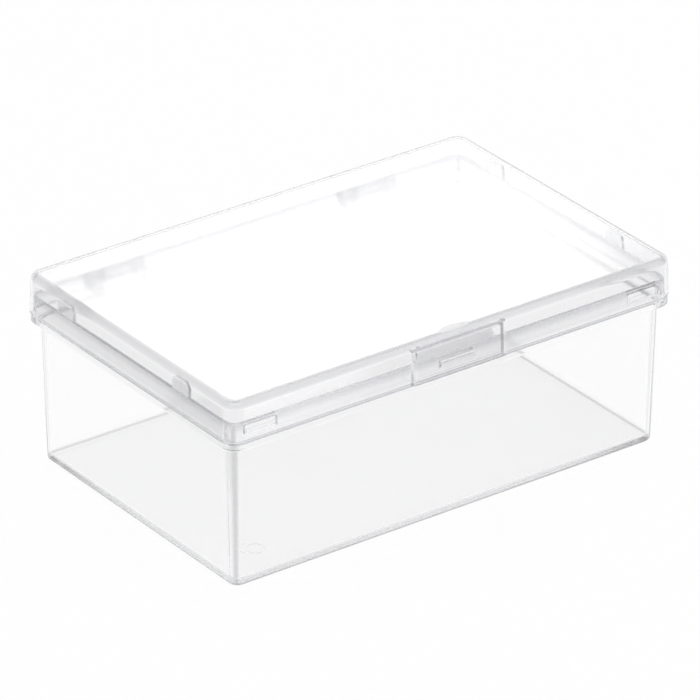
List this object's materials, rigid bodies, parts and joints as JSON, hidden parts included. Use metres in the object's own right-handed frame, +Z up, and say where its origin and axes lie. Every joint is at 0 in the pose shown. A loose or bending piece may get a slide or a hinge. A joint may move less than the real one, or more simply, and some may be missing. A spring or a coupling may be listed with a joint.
{
  "type": "hinged storage box",
  "caption": "Clear moulded storage box: a drafted open tray and a hinged lid with a skirt, a thumb catch on the front and two pin hinges at the back.",
  "frame": {"origin": "centre of the tray's underside, on the surface that the box stands on", "axes": "+Z up, X along the long side, -Y the front with the thumb catch, +Y the back with the hinges"},
  "size_m": [0.17, 0.1189, 0.0654],
  "materials": {
    "clear_plastic": "clear, glossy, moulded",
    "clear_pin": "clear, glossy, smooth"
  },
  "bodies": {
    "tray": {"tray": "clear_plastic", "hinge_pin_left": "clear_pin", "hinge_pin_right": "clear_pin"},
    "lid": {"lid": "clear_plastic"}
  },
  "joints": [
    {"name": "lid_hinge", "type": "hinge", "parent": "tray", "child": "lid", "pos_m": [0, 0.0585, 0.05198], "axis": [-1, 0, 0], "range_deg": [0, 110]}
  ]
}
